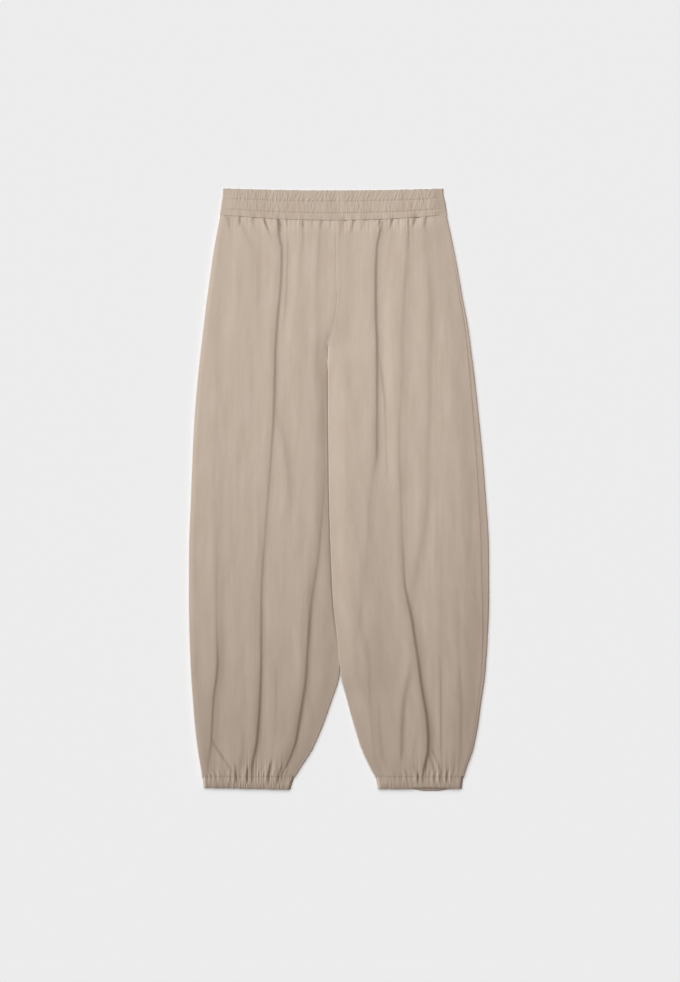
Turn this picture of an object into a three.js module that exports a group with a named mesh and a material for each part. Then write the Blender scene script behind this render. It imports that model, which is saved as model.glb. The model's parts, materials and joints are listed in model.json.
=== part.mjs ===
// Parachute pants laid flat: light woven trousers with two full legs, gathered into an
// elasticated waistband with a ruffled header and into an elasticated cuff on each leg.
// Millimetres. X runs across, Y runs up to the waist and Z is up from the surface that they
// lie on. The origin is the middle of the laid outline. Left and right are as seen from above.

import * as THREE from "three";

// Driving sizes
const cloth = 1.2; // wall of one layer
const seamGap = 0.3; // between two pieces that are sewn together
const waistSeamY = 457.3; // top of the leg panels at the sides
const waistDip = 9.2; // how far the waist seam hangs lower in the middle
const waistbandHeight = 42.5; // at the sides
const headerDip = 3.5; // how far the waistband's top edge hangs lower in the middle
const waistDipReach = 75; // length of leg over which that dip dies out
const crotchY = 240; // where the centre seam ends and the legs part
const crotchTurn = 14; // length over which the panels turn under there
const cuffSeamY = -477.1; // bottom of the leg panels
const outseamRadius = 2.6; // half the height of the fold along a leg's outer edge
const inseamRadius = 2.0; // the same along its inner edge
const dome = 2.6; // how much a front stands higher in the middle of a leg
const edgeReach = 14; // width over which the front rises from its edge
const seamReach = 26; // length over which the front sinks to the waist and cuff seams
const overlapLift = 4.5; // how far the right leg's inner edge is lifted by the left leg
const overlapFall = 30; // width over which that edge comes down to the surface
const outseamWrap = 9; // how far the right back panel rolls round to the front
const bandLayer = 1.8; // back half of a band, elastic included
const bandRibs = 52; // gathers that show on the front of the waistband
const headerWaves = 24; // waves of the ruffled header on its back
const cuffRibs = 22; // gathers that show on the front of each cuff

// A table is a list of rows with named columns
function table(columns, ...rows) {
  const names = columns.split(" ");
  return rows.map((row) => Object.fromEntries(names.map((name, i) => [name, row[i]])));
}

// The legs' edges: x of the outer and of the inner edge at each y. Above the crotch the inner
// edges are the two sides of the centre seam.
const leftEdges = table(
  "y outer inner",
  [452, -197.5, -5.2], [398, -207.5, -5], [360, -213, -4.7], [315, -219.1, -3.6],
  [290, -222.3, -5.8], [268, -224.8, -10.2], [240, -228.2, -18], [226, -229.8, -19.4],
  [205, -232, -19.7], [185, -234, -19.5],
  [160, -236.4, -13], [115, -239.9, -7.5], [66, -242.4, -6.3], [-17, -245.7, -5],
  [-100, -248.7, -2], [-183, -249, 1.5], [-249, -247.8, 2.5], [-290, -246.2, 1.6],
  [-308, -245.3, 0.8], [-349, -242.4, -11.6], [-391, -239, -26.6], [-432, -234.1, -44.8],
  [-462, -229.1, -63.9], [-477, -226.9, -73.4],
);
const rightEdges = table(
  "y outer inner",
  [452, 179.3, -4.9], [398, 190.9, -4.7], [360, 198, -4.4], [315, 205.8, -3.3],
  [290, 210.8, -5.5], [268, 214.6, -9.9], [240, 218.3, -17.7], [226, 220, -18.7],
  [205, 222.8, -19], [160, 228, -19.2], [115, 232.5, -18.9],
  [66, 237.4, -18.3], [-17, 244, -16.9], [-100, 248.7, -14.1], [-183, 249, -10], [-249, 246.6, -2.5],
  [-290, 243.9, 1.2], [-308, 242.4, 3.3], [-349, 236.5, 13.3], [-391, 230.7, 24.9],
  [-432, 222.4, 38.2], [-462, 211.6, 52.3], [-477, 207.2, 60.6],
);

// Lines that a front's columns follow down the leg, from the left to the right
const leftGuides = table(
  "y first second third",
  [444, -184, -101, -32], [348, -194, -96, -36], [237, -201, -105, -34], [149, -203, -108, -30],
  [33, -206, -114, -28], [-84, -205, -123, -34], [-183, -203, -129, -45], [-299, -201, -129, -54],
  [-349, -206, -131, -60], [-416, -210, -136, -75], [-477, -211, -146, -95],
);
const rightGuides = table(
  "y first second third",
  [444, 70, 115, 143], [348, 60, 110, 149], [149, 63, 103, 151], [33, 58, 100, 148],
  [-50, 49, 104, 146], [-150, 42, 108, 148], [-225, 40, 122, 158], [-283, 48, 131, 168],
  [-349, 51, 140, 172], [-432, 58, 148, 173], [-477, 74, 139, 170],
);
const leftSpans = [4, 12, 11, 5]; // steps of a front between its edges and those lines
const rightSpans = [9, 7, 6, 9];

// One crease: how far it spreads to its left and right, and x and depth along its line.
// A depth below nothing is a ridge.
const crease = (left, right, ...line) => ({ left, right, line: table("y x depth", ...line) });
const leftFolds = [
  // long crease from the waist to the cuff
  crease(16, 10, [444, -101, 3], [398, -95, 4], [237, -105, 4], [132, -108, 3.6], [49, -113, 3.2],
    [-84, -123, 3], [-150, -129, 3], [-349, -131, 3.4], [-416, -136, 3], [-477, -146, 2]),
  // trough along the outseam
  crease(14, 18, [444, -190, 1], [320, -198, 1.8], [154, -203, 1.8], [33, -206, 1.6],
    [-133, -204, 1.8], [-240, -201, 2], [-299, -201, 3.2], [-349, -206, 3.4], [-477, -214, 1.5]),
  // slanting fold over the cuff
  crease(8, 10, [-400, -211, 0], [-422, -206, 2.4], [-449, -191, 2.4], [-475, -171, 1]),
  // soft folds from the waist
  crease(14, 14, [444, -146, 1.6], [336, -134, 1.6], [248, -133, 1], [182, -129, 0]),
  crease(11, 13, [444, -62, 1.8], [348, -68, 1.8], [240, -76, 0]),
  crease(12, 13, [444, -30, 1.8], [348, -37, 1.8], [237, -36, 1.6], [174, -38, 0]),
  // crescent on the thigh
  crease(14, 18, [140, -105, 0], [116, -101, 1.6], [66, -88, 2.2], [-1, -83, 2.2], [-67, -83, 0]),
  // deep crease along the inseam
  crease(18, 12, [232, -32, 0], [149, -30, 1.6], [16, -27, 2.6], [-50, -31, 3.2], [-117, -37, 3.8],
    [-183, -45, 4.2], [-316, -55, 4.2], [-382, -65, 4], [-432, -78, 3.6], [-477, -95, 2.2]),
];
const rightFolds = [
  // long crease from the waist to the thigh
  crease(11, 16, [444, 70, 3], [403, 63, 3.8], [237, 63, 3.8], [149, 63, 3.6], [69, 63, 3.4],
    [33, 58, 2], [-17, 51, 1.8], [-117, 45, 1.4], [-225, 38, 0]),
  // deep crease from the waist to the cuff
  crease(12, 16, [444, 115, 1.6], [376, 113, 2], [265, 105, 1.8], [49, 100, 1.6], [-17, 103, 2],
    [-84, 105, 2.6], [-150, 108, 3.6], [-216, 121, 4.4], [-283, 131, 4.4], [-382, 146, 4],
    [-432, 148, 3.4], [-477, 139, 2]),
  // soft band that runs into it
  crease(14, 14, [444, 141, 1.4], [348, 149, 2], [154, 151, 1.6], [33, 148, 1.6], [-50, 144, 2.2],
    [-117, 131, 2.4], [-183, 126, 0]),
  // slanting fold on the thigh
  crease(11, 11, [82, 7, 0], [33, 13, 1.4], [-67, 28, 1.8], [-142, 38, 0]),
  // folds on the shin
  crease(10, 11, [-265, 48, 0], [-316, 50, 2], [-366, 51, 2.4], [-432, 58, 2.6], [-477, 72, 1.6]),
  crease(10, 12, [-283, 116, 0], [-333, 111, 2.8], [-382, 105, 3.2], [-432, 104, 2.8],
    [-472, 101, 0.8]),
  crease(10, 10, [-275, 168, 0], [-333, 170, 1.6], [-416, 172, 1.8], [-477, 169, 1.2]),
];

// Gathers that run down from the waistband and up from the cuffs
const waistGathers = table(
  "x length depth",
  [-164, 50, 1], [-123, 37, 1.2], [-82, 40, 1.2], [-46, 33, 1], [-14, 33, 1.2], [18, 50, 1.2],
  [42, 58, 1], [90, 50, 1.2], [162, 25, 0.8],
);
const cuffGathers = table(
  "x length depth",
  [-199, 40, 1.2], [-184, 30, 1.4], [-169, 45, 1.4], [-158, 30, 1], [-133, 40, 1.2],
  [-121, 30, 1.4], [-108, 36, 1.4], [-84, 30, 1.2], [88, 40, 1.4], [104, 30, 1.2], [118, 26, 1.4],
  [128, 34, 1.2], [155, 40, 1.4], [183, 30, 1.4], [194, 26, 1.2],
);
const gatherSpread = 7;

// Rows of the leg panels, closer where their shape changes faster
const legRows = [
  457.3, 440, 418, 390, 350, 308, 268, 240, 226, 205, 185, 160, 115, 66, 10, -45, -100, -155,
  -210, -262, -300, -345, -385, -420, -450, -467, -477.1,
];

const clamp01 = (t) => Math.min(Math.max(t, 0), 1);
const smooth = (t) => clamp01(t) ** 2 * (3 - 2 * clamp01(t));
const mix = (a, b, t) => a + (b - a) * t;

// One column of a table at height y, on a smooth curve that never overshoots its rows
function along(rows, column, y) {
  const last = rows.length - 1;
  if (y >= rows[0].y) return rows[0][column];
  if (y <= rows[last].y) return rows[last][column];
  let i = 0;
  while (rows[i + 1].y > y) i += 1;
  const rise = (k) => (rows[k + 1][column] - rows[k][column]) / (rows[k + 1].y - rows[k].y);
  const slope = (k) => {
    if (k === 0 || k === last) return rise(Math.min(k, last - 1));
    const product = rise(k - 1) * rise(k);
    return product <= 0 ? 0 : (2 * product) / (rise(k - 1) + rise(k));
  };
  const step = rows[i + 1].y - rows[i].y;
  const t = (y - rows[i].y) / step;
  const bend = slope(i) * step * t * (1 - t) ** 2 - slope(i + 1) * step * t ** 2 * (1 - t);
  return mix(rows[i][column], rows[i + 1][column], smooth(t)) + bend;
}

// Everything about one leg at height y: a is its edge at the lower x, b the one at the higher x
function section(leg, y) {
  const isLeft = leg.name === "left";
  const outer = along(leg.edges, "outer", y);
  const inner = along(leg.edges, "inner", y);
  return {
    y,
    a: isLeft ? outer : inner,
    b: isLeft ? inner : outer,
    radiusA: isLeft ? outseamRadius : inseamRadius,
    radiusB: isLeft ? inseamRadius : outseamRadius,
    turnA: isLeft ? 1 : smooth((crotchY - y) / crotchTurn),
    turnB: isLeft ? smooth((crotchY - y) / crotchTurn) : 1,
  };
}

// Width of the left leg that lies under the right leg, with a little room beside it
function covered(leg, y) {
  const width = along(leftEdges, "inner", y) - along(rightEdges, "inner", y);
  return leg.name === "left" && width > -2 ? width + 2 : 0;
}

// How far the right leg is held up by the left leg's edge under it
function lift(leg, x, y) {
  if (leg.name === "left") return 0;
  const under = Math.max(along(leftEdges, "inner", y), along(rightEdges, "inner", y));
  const held = smooth((226 - y) / 41) * smooth((y + 345) / 40);
  return overlapLift * held * (1 - smooth((x - under - 4) / overlapFall));
}

// Total depth of the creases and gathers at a point of a front
function foldDepth(leg, x, y) {
  let depth = 0;
  for (const { left, right, line } of leg.folds) {
    if (y > line[0].y || y < line[line.length - 1].y) continue;
    const off = x - along(line, "x", y);
    depth += along(line, "depth", y) * clamp01(1 - Math.abs(off) / (off < 0 ? left : right)) ** 1.6;
  }
  const gather = ({ x: middle, length, depth: most }, away) =>
    most * clamp01(1 - away / length) * clamp01(1 - Math.abs(x - middle) / gatherSpread);
  for (const row of waistGathers) depth += gather(row, waistSeamY - y);
  for (const row of cuffGathers) depth += gather(row, y - cuffSeamY);
  return depth;
}

// Outer height of a front
function frontHeight(leg, at, x) {
  const low = lift(leg, x, at.y);
  const across = clamp01((x - at.a) / (at.b - at.a));
  const edge = 2 * mix(at.radiusA, at.radiusB, across);
  const fromA = at.turnA < 0.5 ? edgeReach : x - at.a - at.radiusA;
  const fromB = at.turnB < 0.5 ? edgeReach : at.b - at.radiusB - x - covered(leg, at.y);
  const inside = smooth(Math.min(fromA, fromB) / edgeReach);
  const ends = Math.min(waistSeamY - at.y, at.y - cuffSeamY) / seamReach;
  const body = dome * mix(0.25, 1, smooth(ends)) * (4 * across * (1 - across)) ** 0.6 + 1.6;
  const least = 2 * cloth + 0.5;
  return low + Math.max(edge + inside * (body - foldDepth(leg, x, at.y)), least);
}

// Points of a section are an outer and an inner x and z
const pair = (outerX, outerZ, innerX, innerZ) => ({ outerX, outerZ, innerX, innerZ });

// Fold at one edge of a leg: sign is -1 at edge a and 1 at edge b, upper is the front's half.
// The turn unrolls it at the centre seam, where the panels end flat.
function edgePoints(leg, at, sign, upper) {
  const edge = sign < 0 ? at.a : at.b;
  const radius = sign < 0 ? at.radiusA : at.radiusB;
  const turn = sign < 0 ? at.turnA : at.turnB;
  const low = lift(leg, edge - sign * radius, at.y);
  const half = upper ? 1 : -1;
  return [0, 1, 2].map((step) => {
    const angle = (step / 3) * (Math.PI / 2);
    const x = edge - (sign * radius * step) / 3;
    const flatZ = upper ? frontHeight(leg, at, x) : 0;
    const ring = (r) => [
      edge - sign * radius + sign * r * Math.cos(angle),
      low + radius + half * (r * Math.sin(angle) + (step === 0 ? seamGap / 2 : 0)),
    ];
    const [outerX, outerZ] = ring(radius);
    const [innerX, innerZ] = ring(radius - cloth);
    return pair(
      mix(x, outerX, turn), mix(flatZ, outerZ, turn),
      mix(x, innerX, turn), mix(flatZ - half * cloth, innerZ, turn),
    );
  });
}

const frontPoint = (leg, at, x) => {
  const z = frontHeight(leg, at, x);
  return pair(x, z, x, z - cloth);
};
const backPoint = (leg, at, x) => {
  const z = lift(leg, x, at.y);
  return pair(x, z, x, z + cloth);
};

// Section of a front: half of the fold at one edge, the top, then half of the other fold,
// or the outseam where the back rolls round to the front
function frontSection(leg, y) {
  const at = section(leg, y);
  const rolled = leg.name === "right";
  const start = at.a + at.radiusA;
  const end = rolled ? at.b - outseamWrap - seamGap / 2 : at.b - at.radiusB;
  const guides = ["first", "second", "third"].map((name) => along(leg.guides, name, y));
  const stops = [start, ...guides, end];
  const points = edgePoints(leg, at, -1, true);
  leg.spans.forEach((steps, span) => {
    for (let i = 0; i < steps; i += 1) {
      const t = i / steps;
      const closer = t - 0.4 * Math.sin(2 * Math.PI * t) / (2 * Math.PI);
      points.push(frontPoint(leg, at, mix(stops[span], stops[span + 1], closer)));
    }
  });
  points.push(frontPoint(leg, at, end));
  if (!rolled) points.push(...edgePoints(leg, at, 1, true).reverse());
  return { y, points };
}

// Section of a back: along the surface from edge a to edge b, and round to the front where it
// rolls over. Its first steps are short, where the right leg comes down from the left one.
function backSection(leg, y) {
  const at = section(leg, y);
  const rolled = leg.name === "right";
  const start = at.a + at.radiusA;
  const end = at.b - at.radiusB;
  const points = edgePoints(leg, at, -1, false);
  for (const step of [0, 8, 16, 24, 34, 44]) points.push(backPoint(leg, at, start + step));
  for (const part of [0.35, 0.7, 1]) points.push(backPoint(leg, at, mix(start + 44, end, part)));
  points.push(...edgePoints(leg, at, 1, false).reverse());
  if (rolled) {
    const last = points.pop();
    const middle = at.radiusB;
    points.push(pair(last.outerX, middle, last.innerX, middle));
    points.push(...edgePoints(leg, at, 1, true).slice(1));
    const seam = at.b - outseamWrap + seamGap / 2;
    for (const part of [0, 0.5, 1]) points.push(frontPoint(leg, at, mix(end, seam, part)));
  }
  return { y, points };
}

// The waist hangs lower in its middle: 1 in the middle of the waistband and 0 at its sides
const middleness = (x) => clamp01(1 - ((x + 9) / 188) ** 2);

// The panels' rows follow the waist seam
function dipAt(x, y) {
  return waistDip * middleness(x) * smooth((y - waistSeamY + waistDipReach) / waistDipReach);
}

// Closed solid from triangles of corner indices, turned outwards
function closedSolid(name, colour, corners, faces) {
  const point = (i) => corners[i];
  let volume = 0;
  for (const [a, b, c] of faces) {
    const [p, q, r] = [point(a), point(b), point(c)];
    volume += p[0] * (q[1] * r[2] - q[2] * r[1]);
    volume += p[1] * (q[2] * r[0] - q[0] * r[2]);
    volume += p[2] * (q[0] * r[1] - q[1] * r[0]);
  }
  const turned = volume < 0 ? faces.map(([a, b, c]) => [a, c, b]) : faces;
  const geometry = new THREE.BufferGeometry();
  geometry.setAttribute("position", new THREE.Float32BufferAttribute(corners.flat(), 3));
  geometry.setIndex(turned.flat());
  geometry.computeVertexNormals();
  const material = new THREE.MeshStandardMaterial({ color: colour, roughness: 0.9, metalness: 0 });
  const mesh = new THREE.Mesh(geometry, material);
  mesh.name = name;
  return mesh;
}

// Panel: outer and inner skins through the same sections, joined round the border
function panel(name, colour, sections) {
  const rows = sections.length;
  const columns = sections[0].points.length;
  const corners = [];
  for (const side of ["outer", "inner"]) {
    for (const { y, points } of sections) {
      for (const point of points) {
        const x = point[`${side}X`];
        corners.push([x, y - dipAt(x, y), point[`${side}Z`]]);
      }
    }
  }
  const outer = (r, c) => r * columns + c;
  const inner = (r, c) => rows * columns + outer(r, c);
  const faces = [];
  const quad = (a, b, c, d) => faces.push([a, b, c], [a, c, d]);
  for (let r = 0; r + 1 < rows; r += 1) {
    for (let c = 0; c + 1 < columns; c += 1) {
      quad(outer(r, c), outer(r, c + 1), outer(r + 1, c + 1), outer(r + 1, c));
      quad(inner(r, c), inner(r + 1, c), inner(r + 1, c + 1), inner(r, c + 1));
    }
    quad(outer(r, 0), outer(r + 1, 0), inner(r + 1, 0), inner(r, 0));
    const end = columns - 1;
    quad(outer(r + 1, end), outer(r, end), inner(r, end), inner(r + 1, end));
  }
  for (let c = 0; c + 1 < columns; c += 1) {
    quad(outer(0, c + 1), outer(0, c), inner(0, c), inner(0, c + 1));
    const end = rows - 1;
    quad(outer(end, c), outer(end, c + 1), inner(end, c + 1), inner(end, c));
  }
  return closedSolid(name, colour, corners, faces);
}

// Half of a band: a gathered outer skin of rows and columns over a plain inner face
function bandHalf(name, colour, rows, columns, outerPoint, plainZ) {
  const corners = [];
  for (let r = 0; r < rows; r += 1) {
    for (let c = 0; c < columns; c += 1) corners.push(outerPoint(r, c));
  }
  const plain = [0, rows - 1].map((r) => {
    const first = corners.length;
    for (let c = 0; c < columns; c += 1) {
      const [x, y] = outerPoint(r, c);
      corners.push([x, y, plainZ]);
    }
    return first;
  });
  const outer = (r, c) => r * columns + c;
  const top = (c) => plain[0] + c;
  const bottom = (c) => plain[1] + c;
  const faces = [];
  const quad = (a, b, c, d) => faces.push([a, b, c], [a, c, d]);
  for (let c = 0; c + 1 < columns; c += 1) {
    for (let r = 0; r + 1 < rows; r += 1) {
      quad(outer(r, c), outer(r, c + 1), outer(r + 1, c + 1), outer(r + 1, c));
    }
    quad(top(c), bottom(c), bottom(c + 1), top(c + 1));
    quad(outer(0, c + 1), outer(0, c), top(c), top(c + 1));
    quad(outer(rows - 1, c), outer(rows - 1, c + 1), bottom(c + 1), bottom(c));
  }
  for (const c of [0, columns - 1]) {
    const fan = [];
    for (let r = 0; r + 1 < rows; r += 1) fan.push([outer(r, c), outer(r + 1, c), top(c)]);
    fan.push([outer(rows - 1, c), bottom(c), top(c)]);
    for (const [p, q, s] of fan) faces.push(c === 0 ? [p, q, s] : [q, p, s]);
  }
  return closedSolid(name, colour, corners, faces);
}

// Uneven gathers: a zigzag of ridges and hollows whose height changes from one to the next
const uneven = (i) => 0.75 + 0.25 * Math.sin(2.3 * i + 1.1 * Math.sin(0.7 * i));
const ridge = (i) => (i % 2 === 0 ? -1 : 1) * uneven(i);

// Waistband from its top edge down: its share of the height above the waist seam, its two side
// edges, the height of its outer face and the height of its gathers
const waistbandRows = table(
  "share left right height gather",
  [1, -192.3, 172.9, 4.6, 0.8], [0.85, -192.6, 173, 5.3, 0.8], [0.69, -193, 173.8, 5.4, 0.6],
  [0.62, -193.6, 174.8, 4.8, 0.35], [0.54, -194.4, 175.8, 6, 0.8], [0.32, -195.4, 177.2, 6.2, 0.8],
  [0.225, -196, 178, 4.8, 0.35], [0.13, -196.6, 178.6, 5.8, 0.45], [0, -197.4, 179.2, 5.2, 0.3],
);
const headerShare = 0.69; // where the ruffled header starts
const sideRound = 9; // width over which a band thins to its side edges

function waistbandY(x, share) {
  const seam = waistSeamY + seamGap - dipAt(x, waistSeamY);
  return mix(seam, waistSeamY + waistbandHeight - headerDip * middleness(x), share);
}

function waistbandFront(colour) {
  const columns = 2 * bandRibs + 1;
  const plainZ = bandLayer + seamGap;
  return bandHalf("waistband_front", colour, waistbandRows.length, columns, (r, c) => {
    const row = waistbandRows[r];
    const x = mix(row.left, row.right, c / (columns - 1));
    const inside = smooth(Math.min(x - row.left, row.right - x) / sideRound);
    const header = clamp01((row.share - headerShare) / (1 - headerShare));
    const z = mix(plainZ + cloth, row.height + row.gather * ridge(c), inside);
    const ruffle = 0.7 * header * ridge(c + 3) * inside;
    return [x, waistbandY(x, row.share) + ruffle, z];
  }, plainZ);
}

function waistbandBack(colour) {
  const columns = 2 * headerWaves + 1;
  const rows = [waistbandRows[0], waistbandRows[3], waistbandRows.at(-1)];
  return bandHalf("waistband_back", colour, rows.length, columns, (r, c) => {
    const x = mix(rows[r].left, rows[r].right, c / (columns - 1));
    const ruffle = r === 0 && c > 0 && c + 1 < columns ? 0.9 * ridge(c) - 0.4 : 0;
    return [x, waistbandY(x, rows[r].share) + ruffle, 0];
  }, bandLayer);
}

// Cuffs: x of their corners, and how far each half reaches below the cuff seam at its two ends
const cuffs = {
  left: { top: [-226.3, -74.4], bottom: [-224.4, -80.7], front: [16.6, 19.6], back: [16.2, 19] },
  right: { top: [61.2, 206.2], bottom: [65, 203.6], front: [18.6, 18.6], back: [18.2, 18.2] },
};
const backDrop = { middle: 153, half: 38, depth: 4 }; // where the right back half shows lower
const cuffRows = table("down height gather", [0, 5.2, 0.4], [0.3, 6.2, 0.8], [0.7, 6, 0.9], [1, 4.4, 0.7]);

function cuffPoint(cuff, reach, part, down) {
  const x = mix(mix(...cuff.top, part), mix(...cuff.bottom, part), down);
  return [x, cuffSeamY - seamGap - mix(...reach, part) * down];
}

function cuffFront(side, colour) {
  const cuff = cuffs[side];
  const columns = 2 * cuffRibs + 1;
  const plainZ = bandLayer + seamGap;
  return bandHalf(`cuff_front_${side}`, colour, cuffRows.length, columns, (r, c) => {
    const { down, height, gather } = cuffRows[r];
    const part = c / (columns - 1);
    const [x, y] = cuffPoint(cuff, cuff.front, part, down);
    const width = cuff.top[1] - cuff.top[0];
    const inside = smooth((Math.min(part, 1 - part) * width) / sideRound);
    const wave = 0.5 * down * ridge(c + 5) * inside;
    return [x, y + wave, mix(plainZ + cloth, height + gather * ridge(c + 1), inside)];
  }, plainZ);
}

function cuffBack(side, colour) {
  const cuff = cuffs[side];
  const columns = cuffRibs + 1;
  return bandHalf(`cuff_back_${side}`, colour, 2, columns, (r, c) => {
    const [x, y] = cuffPoint(cuff, cuff.back, c / (columns - 1), r);
    const away = clamp01(1 - Math.abs(x - backDrop.middle) / backDrop.half);
    const drop = side === "right" ? backDrop.depth * smooth(1.4 * away) : 0;
    return [x, y - r * (drop + 0.3 * ridge(c)), 0];
  }, bandLayer);
}

const left = { name: "left", edges: leftEdges, guides: leftGuides, spans: leftSpans, folds: leftFolds };
const right = {
  name: "right", edges: rightEdges, guides: rightGuides, spans: rightSpans, folds: rightFolds,
};
const frontColour = "#c3b2a3";
const backColour = "#b9a898";
const bandColour = "#bfae9f";

const parachutePants = new THREE.Group();
for (const leg of [left, right]) {
  const front = legRows.map((y) => frontSection(leg, y));
  const back = legRows.map((y) => backSection(leg, y));
  parachutePants.add(panel(`front_leg_${leg.name}`, frontColour, front));
  parachutePants.add(panel(`back_leg_${leg.name}`, backColour, back));
  parachutePants.add(cuffFront(leg.name, bandColour));
  parachutePants.add(cuffBack(leg.name, backColour));
}
parachutePants.add(waistbandFront(bandColour));
parachutePants.add(waistbandBack(backColour));

export default parachutePants;
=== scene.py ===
# Parachute pants laid flat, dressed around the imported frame. Sizes are in millimetres until
# a mesh is made. X runs across, Y runs up to the waist, Z is up from the floor.
import json
import math
import bpy
import numpy as np
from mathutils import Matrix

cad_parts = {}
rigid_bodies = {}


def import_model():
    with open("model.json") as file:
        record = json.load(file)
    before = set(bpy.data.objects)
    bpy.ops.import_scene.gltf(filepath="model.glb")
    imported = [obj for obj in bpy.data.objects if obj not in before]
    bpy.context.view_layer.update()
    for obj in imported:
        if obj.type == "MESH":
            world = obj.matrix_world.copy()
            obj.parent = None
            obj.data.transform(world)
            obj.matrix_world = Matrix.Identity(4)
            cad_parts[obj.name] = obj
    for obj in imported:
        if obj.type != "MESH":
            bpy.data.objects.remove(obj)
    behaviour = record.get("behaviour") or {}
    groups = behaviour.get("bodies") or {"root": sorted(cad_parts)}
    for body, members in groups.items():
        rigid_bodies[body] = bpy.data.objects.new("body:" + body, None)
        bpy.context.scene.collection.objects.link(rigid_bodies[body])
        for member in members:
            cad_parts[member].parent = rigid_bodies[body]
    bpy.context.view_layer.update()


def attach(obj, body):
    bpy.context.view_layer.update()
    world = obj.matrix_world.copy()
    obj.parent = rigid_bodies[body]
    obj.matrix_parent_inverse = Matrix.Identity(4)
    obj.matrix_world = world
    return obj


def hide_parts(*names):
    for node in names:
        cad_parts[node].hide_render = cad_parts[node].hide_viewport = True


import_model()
print("frame loaded")

mm = 0.001


# Small helpers for shapes

def tableOf(columns, *rows):
    values = np.array(rows, float)
    return {name: values[:, i] for i, name in enumerate(columns.split())}


def clamp(t):
    return np.clip(t, 0, 1)


def smooth(t):
    t = clamp(t)
    return t * t * (3 - 2 * t)


def mix(a, b, t):
    return a + (b - a) * t


def above(y, stretch):
    # 0 where a stretch starts and 1 where it ends, further up; a stretch is its start and length
    return smooth((y - stretch[0]) / stretch[1])


def below(y, stretch):
    # the same downwards
    return smooth((stretch[0] - y) / stretch[1])


def softened(values, times):
    for _ in range(times):
        values = np.convolve(np.pad(values, 1, mode="edge"), (0.25, 0.5, 0.25), mode="valid")
    return values


def along(rows, column, y):
    # one column of a table at height y, on a smooth curve that never overshoots its rows
    places, values = rows["y"][::-1], rows[column][::-1]
    step = np.diff(places)
    rise = np.diff(values) / step
    slope = np.concatenate([rise[:1], np.zeros(len(rise) - 1), rise[-1:]])
    same = rise[:-1] * rise[1:] > 0
    total = np.where(same, rise[:-1] + rise[1:], 1)
    slope[1:-1] = np.where(same, 2 * rise[:-1] * rise[1:] / total, 0)
    y = np.clip(y, places[0], places[-1])
    i = np.clip(np.searchsorted(places, y) - 1, 0, len(step) - 1)
    t = (y - places[i]) / step[i]
    bend = (slope[i] * t * (1 - t) ** 2 - slope[i + 1] * t ** 2 * (1 - t)) * step[i]
    return mix(values[i], values[i + 1], smooth(t)) + bend


def softNoise(x, y, cellX, cellY, seed):
    # smooth noise from -1 to 1 whose cells are cellX by cellY
    lattice = np.random.RandomState(seed).uniform(-1, 1, (128, 128))
    u, v = x / cellX + 300.3, y / cellY + 300.7
    i, j = np.floor(u).astype(int), np.floor(v).astype(int)
    s, t = smooth(u - i), smooth(v - j)
    i0, i1, j0, j1 = i % 128, (i + 1) % 128, j % 128, (j + 1) % 128
    low = mix(lattice[i0, j0], lattice[i1, j0], s)
    high = mix(lattice[i0, j1], lattice[i1, j1], s)
    return mix(low, high, t)


# The laid garment: places that its pieces share, as in the solids

garment = dict(
    cloth=0.7,              # thickness of the cloth
    seamGap=0.3,            # between two pieces that are sewn together
    waistSeamY=457.3,       # top of the leg panels at the sides
    waistDip=9.2,           # how far the waist seam hangs lower in the middle
    waistDipReach=75,
    bandHeight=42.5,        # waistband at its sides
    headerDip=3.5,          # how far its top edge hangs lower in the middle
    middleX=-9, middleHalf=188,     # where the dips are deepest, and how far to where they end
    centreX=-5, sideX=230,          # the seam between the legs, and a place past both sides
    cuffSeamY=-477.1,       # bottom of the leg panels
    bandLayer=1.8,          # back half of a band
    openAt=1.6, openReach=1.6,      # the dashes under the waistband
)

legForm = dict(
    crotchY=240, crotchTurn=14,     # where the centre seam ends and the panels turn under
    outseamRadius=2.6, inseamRadius=2.0, thinRadius=1.1,
    puff=1.8,                       # how far a front stands over its edges
    dome=2.6, domePower=0.6,        # and how much further in its middle
    shinShare=0.35,                 # share of both at the ankles
    seamReach=26, thickReach=30,    # how near a seam it comes down, and how near a thin edge
    underBand=1.0, bandEdge=(1.5, 2.0),     # the cloth is pressed down where a band lies on it
    overlapLift=4.5, overlapFlat=4, overlapFall=30,
    frontFall=85,                   # the lifted front comes down more slowly than the back
    seamLip=0.16, lipReach=2.6,     # cloth pulled down into the centre seam
    outseamStep=0.55,               # height of the front over the outseam
    stepHalf=0.9, ankleStep=0.4,    # half its width, and its share at the ankle
    tuck=1.7, tuckReach=2.6,        # the left leg's cloth beside the right leg's inner edge
    tuckStart=0.3, tuckCover=(-1, 5),       # it comes in as that edge covers more of it
    softSlope=0.094, cutSlope=0.32,     # steepness for each unit of depth and cut of a crease
    softPower=1.6, cutPower=1.3,
    recover=1.0,                    # width on both sides where it rises again, in crease widths
    cutReach=3.4,                   # half the width of the sharp line in a deep crease
    seamFade=16,                    # creases fade out this near the centre seam
    edgeSteps=6, flatness=0.36,     # points round an edge, and how narrow it is for its height
    ripple=0.5, rippleSeed=11,      # faint waves all over, as share of height, width and length
    ripples=((0.7, 34, 190), (0.5, 15, 110), (0.24, 7, 80), (0.07, 3.5, 50)),
    gatherTop=0.4, gatherCell=(3, 60), gatherSeed=16,
    waistGather=(0.8, 18), cuffGather=(1.5, 20),    # height and length of fine gathers
    leastRoom=0.6,                  # between a front and its back
    waistPull=(2, 1.1), cuffPull=(2.4, 1.6),    # depth and cut of a short fold, for its depth
)

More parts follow.
